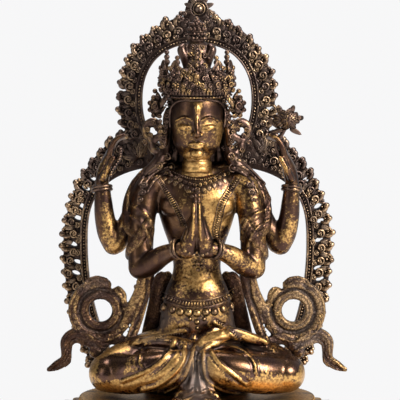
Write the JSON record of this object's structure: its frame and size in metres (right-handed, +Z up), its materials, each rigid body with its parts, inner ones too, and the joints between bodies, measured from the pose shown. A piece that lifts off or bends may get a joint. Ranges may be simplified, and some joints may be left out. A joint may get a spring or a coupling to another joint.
{
  "type": "seated bodhisattva statue",
  "caption": "Small gilt bronze statue of a cross-legged, many-armed bodhisattva on a lotus base, before a pierced double aureole.",
  "frame": {"origin": "middle of the base's flat underside", "axes": "+Z up; the figure faces -Y; +X is on the right of someone who faces the figure"},
  "size_m": [0.1983, 0.1504, 0.3161],
  "materials": {
    "gilt_bronze": "worn gilding over brown bronze",
    "worn_gilt_bronze": "worn gilding, rubbed through to a dark, glossy red-brown",
    "brown_bronze": "dark brown patina with flecks of gilding"
  },
  "bodies": {
    "root": {"lotus_base": "gilt_bronze", "bodhisattva_figure": "worn_gilt_bronze", "aureole": "brown_bronze"}
  },
  "joints": []
}
